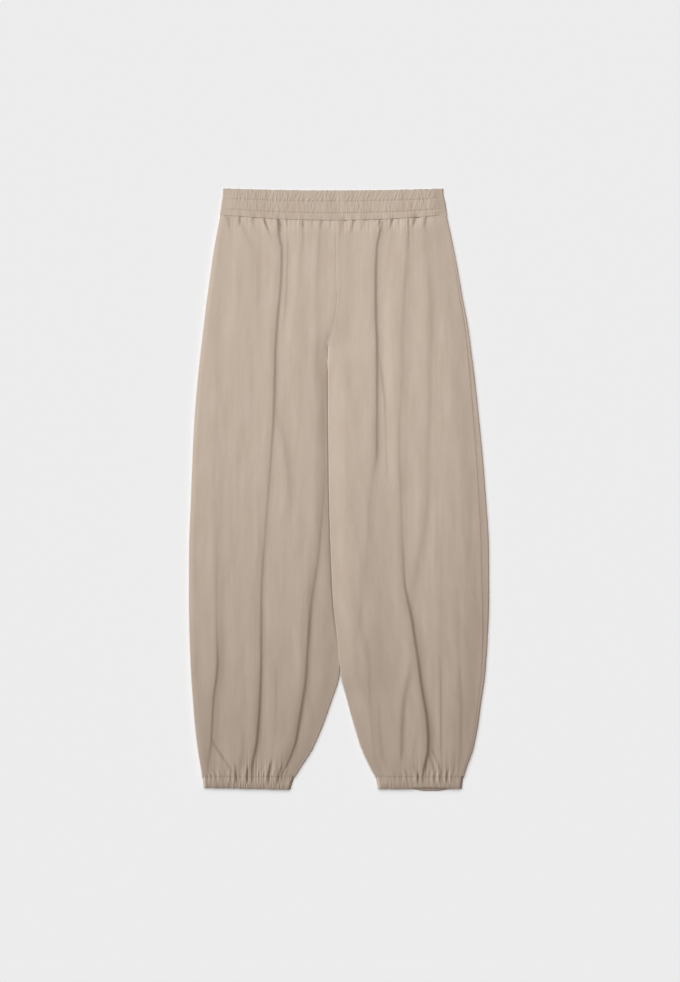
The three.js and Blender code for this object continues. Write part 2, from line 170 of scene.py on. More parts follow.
# stretches of a leg as their start and length, upwards unless a note says down
legParts = dict(
    ownRadius=(240, 60),            # down: the inner edges take their own radius
    thinEdge=(-420, 130),           # the right leg's inner edge gets thin
    held=(240, 36), freed=(-345, 40),       # down and up: the right leg is held up
    ownSides=(285, 60),             # down: each leg falls to its inner edge
    thigh=(-420, 110), knee=(-200, 120),    # these falls get wider or steeper
    firm=(430, 120), firmAnkle=(-360, 120),     # down and up: the step at the outseam
    tucked=(-292, 110),             # the left leg's edge is tucked in
    ownDome=(262, 70),              # down: each leg is domed by itself
    stand=(-420, 250),              # from the low shins to the thighs
)

# how a front comes up from an edge: a share of it steeply within a reach, and the rest over a
# wide stretch; pairs are for the lower and the upper leg
edgeRises = dict(
    rightInner=dict(share=0.15, reach=8, wide=(110, 75)),
    leftOuter=dict(share=0.38, reach=6, wide=(85, 50)),
    leftInner=dict(share=(0.15, 0.8), reach=(8, 22), wide=(48, 70)),
    outseam=dict(share=0.02, power=1.4, wide=42),
)

leftEdges = tableOf(
    "y outer inner",
    (452, -197.5, -5.2), (398, -207.5, -5), (360, -213, -4.7), (315, -219.1, -3.6),
    (290, -222.3, -5.8), (268, -224.8, -10.2), (240, -228.2, -18), (226, -229.8, -18.8),
    (214, -231.1, -18.4), (200, -232.6, -14.2), (185, -234, -12.5), (160, -236.4, -11),
    (115, -239.9, -7.5), (66, -242.4, -6.3), (-17, -245.7, -5), (-100, -248.7, -2),
    (-183, -249, 1.5), (-249, -247.8, 2.5), (-290, -246.2, 1.6), (-308, -245.3, 0.8),
    (-349, -242.4, -11.6), (-391, -239, -26.6), (-432, -234.1, -44.8), (-462, -229.1, -63.9),
    (-477, -226.9, -73.4))
rightEdges = tableOf(
    "y outer inner",
    (452, 179.3, -4.9), (398, 190.9, -4.7), (360, 198, -4.4), (315, 205.8, -3.3),
    (290, 210.8, -5.5), (268, 214.6, -9.9), (240, 218.3, -17.7), (226, 220, -18.7),
    (205, 222.8, -18.6), (160, 228, -18.4), (115, 232.5, -18.1), (66, 237.4, -17.6),
    (-17, 244, -16.4), (-100, 248.7, -13.8), (-183, 249, -10), (-249, 246.6, -2.5),
    (-290, 243.9, 1.2), (-308, 242.4, 3.3), (-349, 236.5, 13.3), (-391, 230.7, 24.9),
    (-432, 222.4, 38.2), (-462, 211.6, 52.3), (-477, 207.2, 60.6))

# how far the right back rolls round to the front, where the outseam shows
outseamWrap = tableOf(
    "y reach",
    (457, 3.2), (380, 4.2), (280, 5.4), (149, 8.3), (16, 11), (-117, 12.5), (-250, 8),
    (-366, 5.2), (-477, 4))

# lines that a front's columns follow, and the steps between them
leftGuides = tableOf(
    "y first second third",
    (444, -184, -100, -32), (348, -194, -96, -36), (237, -201, -105, -34),
    (149, -203, -108, -30), (33, -206, -114, -25), (-84, -204, -123, -31),
    (-183, -203, -129, -45), (-299, -202, -129, -54), (-349, -208, -131, -60),
    (-416, -212, -136, -71), (-454, -214, -143, -85), (-477, -217, -145, -98))
rightGuides = tableOf(
    "y first second third",
    (444, 70, 115.5, 143), (348, 61, 110, 150), (237, 63, 105, 153), (149, 63, 103, 151),
    (49, 62, 100, 148), (-17, 51, 103, 146), (-84, 47, 105, 146), (-150, 42, 108, 148),
    (-225, 40, 122, 158), (-283, 48, 131, 167), (-349, 51, 140, 169), (-416, 56, 148, 170),
    (-454, 63, 143, 169), (-477, 76, 138, 169))


def crease(left, right, *line):
    # a fold in the cloth that spreads left and right of its line, with a sharp cut at the line
    return dict(left=left, right=right, line=tableOf("y x depth cut", *line))


leftCreases = [
    # long crease from the waist to the cuff
    crease(18, 11, (453, -100, 2.4, 1), (431, -100, 3, 1.4), (398, -95, 3, 1.2), (348, -96, 3, 1.2),
           (293, -101, 3, 1.4), (237, -105, 3, 1.4), (132, -108, 2.8, 1.2), (49, -113, 2.6, 0.8),
           (-17, -118, 2.4, 0.6), (-84, -123, 2.2, 0.5), (-150, -128, 2.4, 0.7),
           (-216, -129, 2.6, 1), (-283, -129, 2.8, 1.3), (-349, -131, 3, 1.5),
           (-416, -136, 2.8, 1.5), (-454, -143, 2.4, 1.4), (-477, -145, 1.6, 1)),
    # line beside it
    crease(4, 12, (434, -86, 0, 0), (414, -85, 1, 0.5), (365, -86, 1.4, 0.7), (320, -88, 1.3, 0.6),
           (282, -91, 0.8, 0.3), (252, -95, 0, 0)),
    # trough along the outseam
    crease(13, 20, (444, -193, 0.6, 0), (320, -198, 1.2, 0), (237, -201, 1.4, 0),
           (154, -203, 1.6, 0), (33, -206, 1.4, 0), (-50, -204, 1.6, 0), (-133, -203, 1.8, 0.2),
           (-216, -203, 2, 0.4), (-283, -201, 2.6, 1), (-349, -208, 3, 1.6), (-416, -212, 2.8, 1.8),
           (-452, -216, 2, 1.4), (-469, -217, 0.6, 0.4)),
    # slanting fold over the cuff
    crease(7, 9, (-412, -212, 0, 0), (-421, -208, 2.2, 1.2), (-444, -193, 2.4, 1.8),
           (-462, -181, 2, 1.2), (-475, -170, 0.8, 0.6)),
    # short gather at its foot
    crease(5, 6, (-446, -178, 0, 0), (-457, -173, 1.2, 0.8), (-477, -171, 1, 0.8)),
    # soft waist fold
    crease(16, 16, (449, -164, 1.2, 0.8), (423, -153, 1.2, 0.2), (384, -138, 1.4, 0),
           (336, -134, 1.5, 0), (282, -133, 1.2, 0), (215, -131, 0.6, 0), (165, -129, 0, 0)),
    # waist dent
    crease(6, 7, (453, -124, 1.2, 1), (441, -121, 1.3, 0.8), (426, -116, 0.9, 0.3),
           (404, -108, 0, 0)),
    # soft fold right of the long crease
    crease(10, 14, (453, -60, 1.4, 0.2), (423, -60, 1.6, 0.2), (381, -64, 1.7, 0.2),
           (340, -67, 1.8, 0), (298, -71, 1.5, 0), (257, -75, 0.8, 0), (228, -76, 0, 0)),
    # fold beside the centre seam
    crease(10, 14, (453, -29, 1.6, 0.3), (423, -32, 1.8, 0.3), (381, -35, 1.8, 0.2),
           (331, -37, 1.7, 0.1), (282, -38, 1.6, 0), (237, -37, 1.4, 0), (195, -37, 0.8, 0),
           (162, -38, 0, 0)),
    # crescent on the thigh
    crease(14, 18, (140, -106, 0, 0), (119, -101, 1.3, 0.1), (91, -93, 1.7, 0.2),
           (66, -88, 1.9, 0.2), (24, -84, 1.9, 0.1), (-17, -82, 1.5, 0), (-54, -83, 0, 0)),
    # smudge below it
    crease(12, 14, (-4, -66, 0, 0), (-26, -65, 1.2, 0), (-47, -65, 1.1, 0), (-75, -68, 0, 0)),
    # deep crease along the inseam
    crease(20, 12, (248, -28, 0, 0), (195, -25, 1.2, 0), (116, -25, 1.6, 0.1), (33, -24, 2.2, 0.3),
           (-17, -26, 2.6, 0.6), (-67, -30, 2.8, 0.7), (-117, -35, 3, 0.8), (-183, -45, 3.2, 1),
           (-250, -51, 3.4, 1.2), (-316, -55, 3.4, 1.2), (-349, -60, 3.2, 1.3), (-382, -65, 3, 1.5),
           (-416, -71, 2.8, 1.7), (-432, -76, 2.6, 1.7), (-454, -85, 2.2, 1.6),
           (-477, -98, 1.5, 1.2)),
    # where it slips under the right leg
    crease(7, 2, (243, -19.5, 0, 0), (232, -20, 1, 1.6), (205, -20.4, 1.4, 2), (160, -20.6, 1.4, 2),
           (115, -20.3, 1.4, 1.7), (66, -19.7, 1.4, 1.7), (-17, -18.3, 1.4, 1.9),
           (-100, -15.5, 1, 1.4), (-183, -11.4, 0.6, 1), (-249, -4, 0.4, 0.8), (-290, -0.5, 0, 0)),
    # short fold inside the knee
    crease(7, 7, (-333, -55, 0, 0), (-353, -50, 1.2, 0.3), (-373, -43, 1.4, 0.4),
           (-392, -40, 0.8, 0.1), (-412, -40, 0, 0)),
    # short fold over the ankle
    crease(5, 6, (-436, -55, 0, 0), (-444, -59, 1.6, 1.2), (-456, -66, 1.6, 1.4),
           (-465, -71, 0.8, 0.4), (-474, -75, 0, 0)),
    # thin line on the shin
    crease(7, 7, (-275, -105, 0, 0), (-316, -104, 1, 0.2), (-349, -104, 1, 0.3),
           (-382, -105, 0.8, 0.1), (-416, -105, 0, 0)),
    # soft trough over the cuff
    crease(13, 14, (-359, -166, 0, 0), (-382, -169, 1, 0.1), (-407, -159, 1.2, 0),
           (-427, -159, 1.6, 0), (-457, -164, 1.8, 0.3), (-477, -166, 1.2, 0.6)),
    # line under the waist at the side
    crease(9, 10, (453, -183, 1, 1), (438, -183, 1.2, 0.5), (414, -179, 0.8, 0), (378, -176, 0, 0)),
]

rightCreases = [
    # long crease from the waist to the thigh
    crease(13, 18, (453, 72, 2, 1), (439, 69, 2.6, 1.6), (403, 63, 2.8, 1.6), (348, 61, 3, 1.7),
           (293, 61, 3, 1.8), (237, 63, 3, 1.8), (190, 63, 2.8, 1.6), (149, 63, 2.6, 1.4),
           (99, 63, 2.6, 1.3), (69, 63, 2.6, 1.2), (49, 62, 2.4, 0.6), (33, 58, 1.9, 0),
           (-17, 51, 1.5, 0), (-67, 48, 1.4, 0), (-117, 45, 1.4, 0), (-167, 38, 1, 0),
           (-216, 30, 0, 0)),
    # line beside it
    crease(5, 8, (218, 66, 0, 0), (202, 69, 0.8, 0.7), (174, 73, 1, 0.9), (149, 76, 1, 0.9),
           (116, 77, 1, 0.7), (74, 78, 1, 0.5), (33, 79, 0.8, 0.4), (-9, 80, 0, 0)),
    # deep crease from the waist to the cuff
    crease(14, 18, (453, 116, 1.4, 0.5), (431, 115, 1.7, 0.5), (376, 113, 1.9, 0.3),
           (320, 108, 1.9, 0.2), (265, 105, 1.8, 0.2), (210, 105, 1.6, 0.2), (154, 103, 1.5, 0.2),
           (99, 100, 1.4, 0.3), (49, 100, 1.4, 0.3), (-17, 103, 1.6, 0.3), (-84, 105, 2, 0.4),
           (-150, 108, 2.6, 0.8), (-183, 114, 3, 1.2), (-216, 121, 3.2, 1.6), (-250, 126, 3.2, 1.7),
           (-283, 131, 3.2, 1.7), (-333, 138, 3.2, 1.7), (-382, 146, 3, 1.8), (-416, 148, 3, 1.9),
           (-434, 147, 2.8, 2), (-454, 143, 2.4, 1.9), (-477, 138, 1.6, 1.5)),
    # soft band that runs into it
    crease(15, 15, (453, 141, 1, 0.5), (414, 144, 1.4, 0), (348, 150, 1.7, 0), (293, 154, 1.8, 0),
           (237, 153, 1.7, 0), (154, 151, 1.5, 0), (99, 148, 1.4, 0), (33, 148, 1.4, 0),
           (-50, 144, 1.8, 0), (-92, 136, 2.2, 0), (-133, 129, 2.4, 0), (-183, 124, 1.4, 0),
           (-213, 123, 0, 0)),
    # soft fold at the waist
    crease(9, 10, (453, 88, 1, 0.6), (431, 89, 1.2, 0.2), (398, 83, 1.1, 0), (340, 78, 0.8, 0),
           (298, 76, 0, 0)),
    # slanting fold on the thigh
    crease(12, 12, (96, 5, 0, 0), (66, 8, 1, 0), (33, 13, 1.3, 0), (-1, 18, 1.4, 0),
           (-67, 28, 1.6, 0), (-109, 35, 1.2, 0), (-150, 40, 0, 0)),
    # dent over the knee
    crease(9, 9, (-180, 37, 0, 0), (-200, 36, 1.2, 0.1), (-220, 33, 1.4, 0.2), (-246, 27, 1.3, 0.1),
           (-275, 18, 0, 0)),
    # dent beside it
    crease(9, 10, (-240, 45, 0, 0), (-258, 45, 1.1, 0.1), (-275, 46, 1, 0.1), (-296, 48, 0, 0)),
    # shin fold
    crease(8, 11, (-275, 48, 0, 0), (-308, 50, 1.4, 0.2), (-349, 51, 1.8, 0.3), (-399, 54, 2, 0.6),
           (-424, 56, 2.1, 0.9), (-446, 59, 2, 1), (-464, 68, 1.8, 1), (-477, 76, 1.2, 0.8)),
    # second shin fold
    crease(6, 9, (-341, 66, 0, 0), (-363, 66, 1.3, 0.3), (-391, 67, 1.5, 0.5), (-416, 69, 1.5, 0.7),
           (-442, 72, 1.6, 0.9), (-459, 78, 1.4, 0.8), (-474, 86, 0.6, 0.4)),
    # deep fold beside the crease
    crease(10, 11, (-283, 120, 0, 0), (-303, 117, 1.6, 0.6), (-333, 111, 2.2, 1),
           (-358, 107, 2.4, 1.1), (-386, 105, 2.6, 1.1), (-416, 104, 2.6, 1.3),
           (-432, 104, 2.6, 1.6), (-444, 103, 1.8, 1), (-459, 102, 0, 0)),
    # soft fold between them
    crease(8, 8, (-396, 128, 0, 0), (-416, 126, 1.2, 0.1), (-436, 124, 1.5, 0.3),
           (-449, 124, 1, 0.2), (-462, 124, 0.5, 0.3), (-475, 129, 0.4, 0.4)),
    # short gather
    crease(4, 5, (-452, 122, 0, 0), (-462, 125, 1, 1), (-472, 129, 1, 1), (-479, 131, 0.6, 0.6)),
    # leaf fold over the cuff
    crease(5, 7, (-427, 149, 0, 0), (-434, 155, 1, 0.8), (-444, 160, 1.2, 0.9),
           (-454, 163, 1.2, 0.8), (-465, 168, 0.8, 0.6), (-477, 169, 0.5, 0.4)),
    # line inside the leaf
    crease(4, 5, (-432, 149, 0, 0), (-442, 150, 1, 0.8), (-459, 156, 1, 0.7), (-469, 159, 0, 0)),
    # thin calf line
    crease(8, 8, (-266, 167, 0, 0), (-293, 168, 0.9, 0.4), (-349, 169, 1.2, 0.5),
           (-416, 169, 1.3, 0.7), (-477, 169, 0.9, 0.6)),
    # thin outer line
    crease(7, 7, (-275, 201, 0, 0), (-299, 201, 0.8, 0.3), (-366, 203, 1.1, 0.4),
           (-416, 202, 1.2, 0.7), (-439, 202, 1.2, 0.7), (-459, 199, 1, 0.5),
           (-477, 196, 0.6, 0.4)),
]

# short folds that the elastic pulls into the cloth: they start at a seam at x, run away from
# it for a length and drift sideways
waistPuckers = tableOf(
    "x half depth length drift",
    (-186, 7, 1.5, 26, 4), (-164, 4, 1.9, 20, -3), (-144, 5, 0.9, 24, 4), (-126, 4, 1.7, 30, 12),
    (-101, 5, 2.2, 26, 2), (-88, 4, 0.8, 18, 3), (-61, 6, 0.9, 22, 0), (-45, 4, 0.6, 20, 0),
    (-30, 6, 1, 22, -2), (-14, 5, 1, 24, -2), (5, 6, 1.2, 30, -3), (24, 5, 1.4, 28, -5),
    (40, 6, 0.9, 26, -4), (68, 5, 1.6, 18, -4), (88, 5, 1.4, 26, -6), (99, 4, 1, 22, -4),
    (115, 5, 0.8, 20, -3), (127, 6, 2, 18, -6), (144, 5, 1, 24, -3), (160, 5, 0.5, 20, 0))
cuffPuckers = tableOf(
    "x half depth length drift",
    (-219, 3, 1.5, 16, -5), (-211, 3, 1.7, 16, -8), (-203, 3, 1.6, 18, -10),
    (-196, 3, 1.1, 16, -5), (-189, 4, 1.3, 20, 0), (-181, 3, 1.1, 14, 1), (-171, 3, 1, 22, 0),
    (-154, 4, 1.3, 20, 3), (-141, 3, 0.9, 14, 0), (-134, 3, 1.2, 14, 2), (-126, 3, 1, 12, 2),
    (-118, 4, 1.7, 32, 6), (-109, 3, 0.9, 14, 3), (-101, 4, 1.3, 22, 6), (-90, 4, 0.9, 14, 6),
    (-82, 3, 0.8, 12, 5), (64, 4, 1.4, 16, -7), (71, 3, 1.2, 18, -8), (83, 3, 0.8, 14, -5),
    (93, 4, 1.1, 16, -4), (101, 3, 1.1, 14, -3), (106, 3, 0.8, 12, -3), (113, 3, 1.6, 18, -4),
    (121, 3, 0.8, 12, 0), (131, 3, 1, 14, 2), (148, 3, 0.9, 14, 2), (158, 3, 1.1, 16, 3),
    (167, 3, 0.8, 12, 3), (178, 4, 1.2, 18, 4), (186, 3, 1.2, 16, 5), (194, 3, 1, 18, 6),
    (202, 3, 0.9, 14, 5))
# places where the band's lower edge stands off the cloth, seen as dark dashes
waistOpenings = tableOf(
    "x half depth",
    (-183, 8, 1.2), (-135, 8, 1.3), (-101, 3, 1.6), (-50, 3, 0.8), (-26, 4, 1), (12, 4, 1.3),
    (26, 4, 1.3), (47, 4, 1.4), (66, 9, 1.5), (93, 9, 1.6), (128, 11, 2.6))


def puckerCreases(puckers, pull, seam, away, left, right):
    # the puckers of one leg as creases; pull scales their depth and their cut, and away is
    # -1 below a seam and 1 above it
    made = []
    for x, half, depth, length, drift in zip(*puckers.values()):
        if left < x < right:
            deep, cut = depth * pull[0], depth * pull[1]
            ends = [(seam, x, deep, cut),
                    (seam + away * length * 0.5, x + drift * 0.5, deep * 0.8, cut * 0.8),
                    (seam + away * length, x + drift, 0, 0)]
            made.append(crease(half, half, *(ends if away < 0 else ends[::-1])))
    return made


legs = {
    "left": dict(name="left", edges=leftEdges, guides=leftGuides, steps=(46, 100, 100, 34),
                 creases=leftCreases, span=(-garment["sideX"], garment["centreX"])),
    "right": dict(name="right", edges=rightEdges, guides=rightGuides, steps=(88, 50, 56, 90),
                  creases=rightCreases, span=(garment["centreX"], garment["sideX"])),
}
for leg in legs.values():
    leg["creases"] = leg["creases"] + puckerCreases(
        waistPuckers, legForm["waistPull"], garment["waistSeamY"], -1, *leg["span"]) + puckerCreases(
        cuffPuckers, legForm["cuffPull"], garment["cuffSeamY"], 1, *leg["span"])


# Shape of the legs

def middleness(x):
    return clamp(1 - ((x - garment["middleX"]) / garment["middleHalf"]) ** 2)


def dipAt(x, y):
    reach = garment["waistDipReach"]
    return garment["waistDip"] * middleness(x) * smooth((y - garment["waistSeamY"] + reach) / reach)


def innerRadius(leg, y):
    # the inner edge is rounder at the crotch, and the right leg's is pressed thin on the left leg
    radius = legForm["inseamRadius"]
    if leg["name"] == "right":
        radius = mix(radius, legForm["thinRadius"], above(y, legParts["thinEdge"]))
    return mix(legForm["outseamRadius"], radius, below(y, legParts["ownRadius"]))


def sectionOf(leg, y):
    # both edges of a leg at each row: a is the one at the lower x
    outer, inner = along(leg["edges"], "outer", y), along(leg["edges"], "inner", y)
    turn = below(y, (legForm["crotchY"], legForm["crotchTurn"]))
    closing = garment["seamGap"] / 2 * (1 - turn)
    inner = inner + (closing if leg["name"] == "left" else -closing)
    whole = np.ones_like(y)
    full, tight = legForm["outseamRadius"] * whole, innerRadius(leg, y)
    if leg["name"] == "left":
        return dict(y=y, a=outer, b=inner, turnA=whole, turnB=turn, radiusA=full, radiusB=tight)
    return dict(y=y, a=inner, b=outer, turnA=turn, turnB=whole, radiusA=tight, radiusB=full)


def liftOf(leg, x, y, fall):
    # how far the right leg is held up by the left leg's edge under it
    if leg["name"] == "left":
        return 0 * (x + y)
    under = np.maximum(along(leftEdges, "inner", y), along(rightEdges, "inner", y))
    held = below(y, legParts["held"]) * above(y, legParts["freed"])
    return legForm["overlapLift"] * held * (1 - smooth((x - under - legForm["overlapFlat"]) / fall))


def fallen(off, left, right, power):
    # how far the cloth has come down across a crease, for a slope of 1 at its line
    before = left * clamp(1 + off / left) ** (power + 1)
    after = left + right * (1 - clamp(1 - off / right) ** (power + 1))
    return np.where(off < 0, before, after) / (power + 1)


def creaseHeight(leg, at, x):
    # The cloth comes down across each crease, steepest at its line, and rises again over a
    # wider stretch around it
    y = at["y"]
    height = 0 * (x + y)
    reach = legForm["cutReach"]
    for fold in leg["creases"]:
        line = fold["line"]
        inside = (y <= line["y"][0]) & (y >= line["y"][-1])
        off = x - along(line, "x", y)
        margin = legForm["recover"] * (fold["left"] + fold["right"])
        back = smooth((off + fold["left"] + margin) / (fold["left"] + fold["right"] + 2 * margin))
        for column, steep, power, left, right in (
                ("depth", "softSlope", legForm["softPower"], fold["left"], fold["right"]),
                ("cut", "cutSlope", legForm["cutPower"], reach, reach)):
            slope = legForm[steep] * inside * along(line, column, y)
            whole = (left + right) / (power + 1)
            height = height - slope * (fallen(off, left, right, power) - whole * back)
    return height


def openingDepth(x, away):
    # the cloth just under the band's lower edge hangs clear of it in places
    depth = 0 * (x + away)
    for place, half, deepest in zip(*waistOpenings.values()):
        depth = depth + deepest * clamp(2 * (1 - np.abs(x - place) / half))
    return depth * np.exp(-np.maximum(away - garment["openAt"], 0) / garment["openReach"])


def seamLip(at, x):
    # cloth is pulled down beside the centre seam
    def near(distance):
        return clamp(1 - distance / legForm["lipReach"]) ** 2
    lips = (1 - at["turnA"]) * near(np.abs(x - at["a"])) + (1 - at["turnB"]) * near(np.abs(at["b"] - x))
    return legForm["seamLip"] * lips


def rise(distance, share, reach, power, wide):
    # 0 at an edge and 1 well inside it
    steep = 1 - clamp(1 - distance / reach) ** power
    return share * steep + (1 - share) * smooth(distance / wide)


def insideOf(leg, at, x):
    # 0 at the edges of a front and 1 over its middle
    y = at["y"]
    fromA, fromB = x - at["a"] - at["radiusA"], at["b"] - at["radiusB"] - x
    low, thigh = below(y, legParts["ownSides"]), above(y, legParts["thigh"])
    if leg["name"] == "right":
        side, outseam = edgeRises["rightInner"], edgeRises["outseam"]
        insideA = rise(fromA, side["share"], side["reach"], 2, mix(*side["wide"], thigh))
        reach = along(outseamWrap, "reach", y)
        insideB = rise(fromB, outseam["share"] * reach, reach + 1, outseam["power"], outseam["wide"])
        return mix(1, insideA, low) * insideB
    side, inner = edgeRises["leftOuter"], edgeRises["leftInner"]
    knee = above(y, legParts["knee"])
    share, reach, wide = (mix(*inner[name], knee) for name in ("share", "reach", "wide"))
    insideB = rise(fromB - np.maximum(coverOf(y), 0), share, reach, 2, wide)
    insideA = rise(fromA, side["share"], side["reach"], 2, mix(*side["wide"], thigh))
    return insideA * mix(1, insideB, low)


def coverOf(y):
    # how far the left leg's inner edge lies under the right leg
    return along(leftEdges, "inner", y) - along(rightEdges, "inner", y)


def steps(leg, at, x):
    # the cloth comes down sharply at the outseam and where it slips under the other leg
    y = at["y"]
    if leg["name"] == "right":
        seam = at["b"] - along(outseamWrap, "reach", y)
        firm = mix(legForm["ankleStep"], 1, above(y, legParts["firmAnkle"]))
        firm = below(y, legParts["firm"]) * firm
        half = legForm["stepHalf"]
        return legForm["outseamStep"] * firm * smooth((seam + half - x) / (2 * half))
    tucked = at["turnB"] * above(coverOf(y), legForm["tuckCover"]) * above(y, legParts["tucked"])
    edge = along(rightEdges, "inner", y) + legForm["tuckStart"]
    return legForm["tuck"] * tucked * (smooth((edge - x) / legForm["tuckReach"]) - 1)


def domeOf(at, x):
    # rise towards the middle: of the whole lay above the crotch, and of each leg below it
    y = at["y"]
    own = clamp((x - at["a"]) / (at["b"] - at["a"]))
    left, right = along(leftEdges, "outer", y), along(rightEdges, "outer", y)
    whole = clamp((x - left) / (right - left))
    own = mix(whole * (1 - whole), own * (1 - own), below(y, legParts["ownDome"]))
    return (4 * own) ** legForm["domePower"]


def frontHeight(leg, at, x):
    form, y = legForm, at["y"]
    thick = 2 * form["outseamRadius"]
    edge = thick - (thick - 2 * at["radiusA"]) * smooth(1 - (x - at["a"]) / form["thickReach"])
    edge = edge - (thick - 2 * at["radiusB"]) * smooth(1 - (at["b"] - x) / form["thickReach"])
    toWaist, toCuff = garment["waistSeamY"] - y, y - garment["cuffSeamY"]
    toSeam = np.minimum(toWaist, toCuff)
    # the shins lie lower than the thighs
    stand = mix(form["shinShare"], 1, above(y, legParts["stand"]))
    body = (form["puff"] + form["dome"] * domeOf(at, x)) * stand
    body = mix(1, body, smooth(toSeam / form["seamReach"]))
    ripple = sum(share * softNoise(x, y, wide, tall, form["rippleSeed"] + i)
                 for i, (share, wide, tall) in enumerate(form["ripples"]))
    gathers = form["gatherTop"] - np.abs(softNoise(x, y, *form["gatherCell"], form["gatherSeed"]))
    (atWaist, waistReach), (atCuff, cuffReach) = form["waistGather"], form["cuffGather"]
    fine = gathers * (atWaist * np.exp(-toWaist / waistReach) + atCuff * np.exp(-toCuff / cuffReach))
    # both legs come to one height at the seam between them
    seam, turn = (at["b"], at["turnB"]) if leg["name"] == "left" else (at["a"], at["turnA"])
    folds = creaseHeight(leg, at, x) * mix(smooth(np.abs(x - seam) / form["seamFade"]), 1, turn)
    height = edge + insideOf(leg, at, x) * (body + folds + form["ripple"] * ripple + fine)
    pressed = clamp((form["bandEdge"][1] - toSeam) / np.ptp(form["bandEdge"]))
    height = height - form["underBand"] * pressed
    height = height + steps(leg, at, x) - openingDepth(x, toWaist) - seamLip(at, x)
    least = 2 * garment["cloth"] + form["leastRoom"]
    return liftOf(leg, x, y, form["frontFall"]) + np.maximum(height, least)


def edgeRun(leg, at, sign, upper):
    # half of the fold along one edge, unrolled flat at the centre seam
    side = "A" if sign < 0 else "B"
    edge, radius, turn = at[side.lower()], at["radius" + side], at["turn" + side]
    step = np.arange(legForm["edgeSteps"]) / legForm["edgeSteps"]
    angle = step * math.pi / 2
    half = 1 if upper else -1
    x = edge - sign * radius * step
    flat = frontHeight(leg, at, x) if upper else 0 * x
    low = liftOf(leg, edge - sign * radius, at["y"], legForm["overlapFall"])
    ringX = edge - sign * legForm["flatness"] * radius * (1 - np.cos(angle))
    opening = np.where(step == 0, garment["seamGap"] / 2, 0)
    ringZ = low + radius + half * (radius * np.sin(angle) + opening)
    return mix(x, ringX, turn), mix(flat, ringZ, turn)


# the mesh of a leg: heights between which the rows are evenly spaced, and how many rows
meshForm = dict(
    stops=(390, 262, 216, -400), rows=(29, 15, 14, 74, 32),
    nearSeam=(0, *legForm["bandEdge"], 3), firstStop=4.5,
    crowding=0.4,                   # columns stand closer beside a guide line
    backStep=4, backColumns=12, wrapColumns=10,
)


def rowPlaces():
    # rows of a leg from the waist down, closest at the seams and at the crotch
    top, bottom = garment["waistSeamY"], garment["cuffSeamY"]
    near = np.array(meshForm["nearSeam"])
    stops = [top - meshForm["firstStop"], *meshForm["stops"], bottom + meshForm["firstStop"]]
    spans = [np.linspace(high, low, count)[1:]
             for high, low, count in zip(stops, stops[1:], meshForm["rows"])]
    return np.concatenate([top - near, stops[:1], *spans, (bottom + near)[::-1]])


def frontGrid(leg):
    y = rowPlaces()[:, None]
    at = sectionOf(leg, y)
    rolled = leg["name"] == "right"
    end = at["b"] - (along(outseamWrap, "reach", y) if rolled else at["radiusB"])
    stops = [at["a"] + at["radiusA"]]
    stops += [along(leg["guides"], name, y) for name in ("first", "second", "third")] + [end]
    columns = []
    for span, steps in enumerate(leg["steps"]):
        t = np.arange(steps) / steps
        closer = t - meshForm["crowding"] * np.sin(2 * math.pi * t) / (2 * math.pi)
        columns.append(mix(stops[span], stops[span + 1], closer))
    x = np.concatenate(columns + [end], axis=1)
    xs, zs = [x], [frontHeight(leg, at, x)]
    startX, startZ = edgeRun(leg, at, -1, True)
    xs, zs = [startX] + xs, [startZ] + zs
    if not rolled:
        endX, endZ = edgeRun(leg, at, 1, True)
        xs, zs = xs + [endX[:, ::-1]], zs + [endZ[:, ::-1]]
    return np.concatenate(xs, axis=1), y, np.concatenate(zs, axis=1)


def backGrid(leg):
    y = rowPlaces()[:, None]
    at = sectionOf(leg, y)
    start, end = at["a"] + at["radiusA"], at["b"] - at["radiusB"]
    count, wrap = meshForm["backColumns"], meshForm["wrapColumns"]
    first = start + meshForm["backStep"] * np.arange(count)[None, :]
    rest = mix(first[:, -1:], end, (np.arange(1, count + 1) / count)[None, :])
    x = np.concatenate([first, rest], axis=1)
    startX, startZ = edgeRun(leg, at, -1, False)
    endX, endZ = edgeRun(leg, at, 1, False)
    if leg["name"] == "right":
        endZ = np.where(np.arange(legForm["edgeSteps"]) == 0, at["radiusB"], endZ)
    xs = [startX, x, endX[:, ::-1]]
    zs = [startZ, liftOf(leg, x, y, legForm["overlapFall"]), endZ[:, ::-1]]
    if leg["name"] == "right":
        roundX, roundZ = edgeRun(leg, at, 1, True)
        seam = at["b"] - along(outseamWrap, "reach", y)
        top = mix(end, seam, (np.arange(wrap) / (wrap - 1))[None, :])
        xs += [roundX[:, 1:], top]
        zs += [roundZ[:, 1:], frontHeight(leg, at, top)]
    return np.concatenate(xs, axis=1), y, np.concatenate(zs, axis=1)


# Meshes

def addObject(name, data):
    thing = bpy.data.objects.new(name, data)
    bpy.context.scene.collection.objects.link(thing)
    return thing


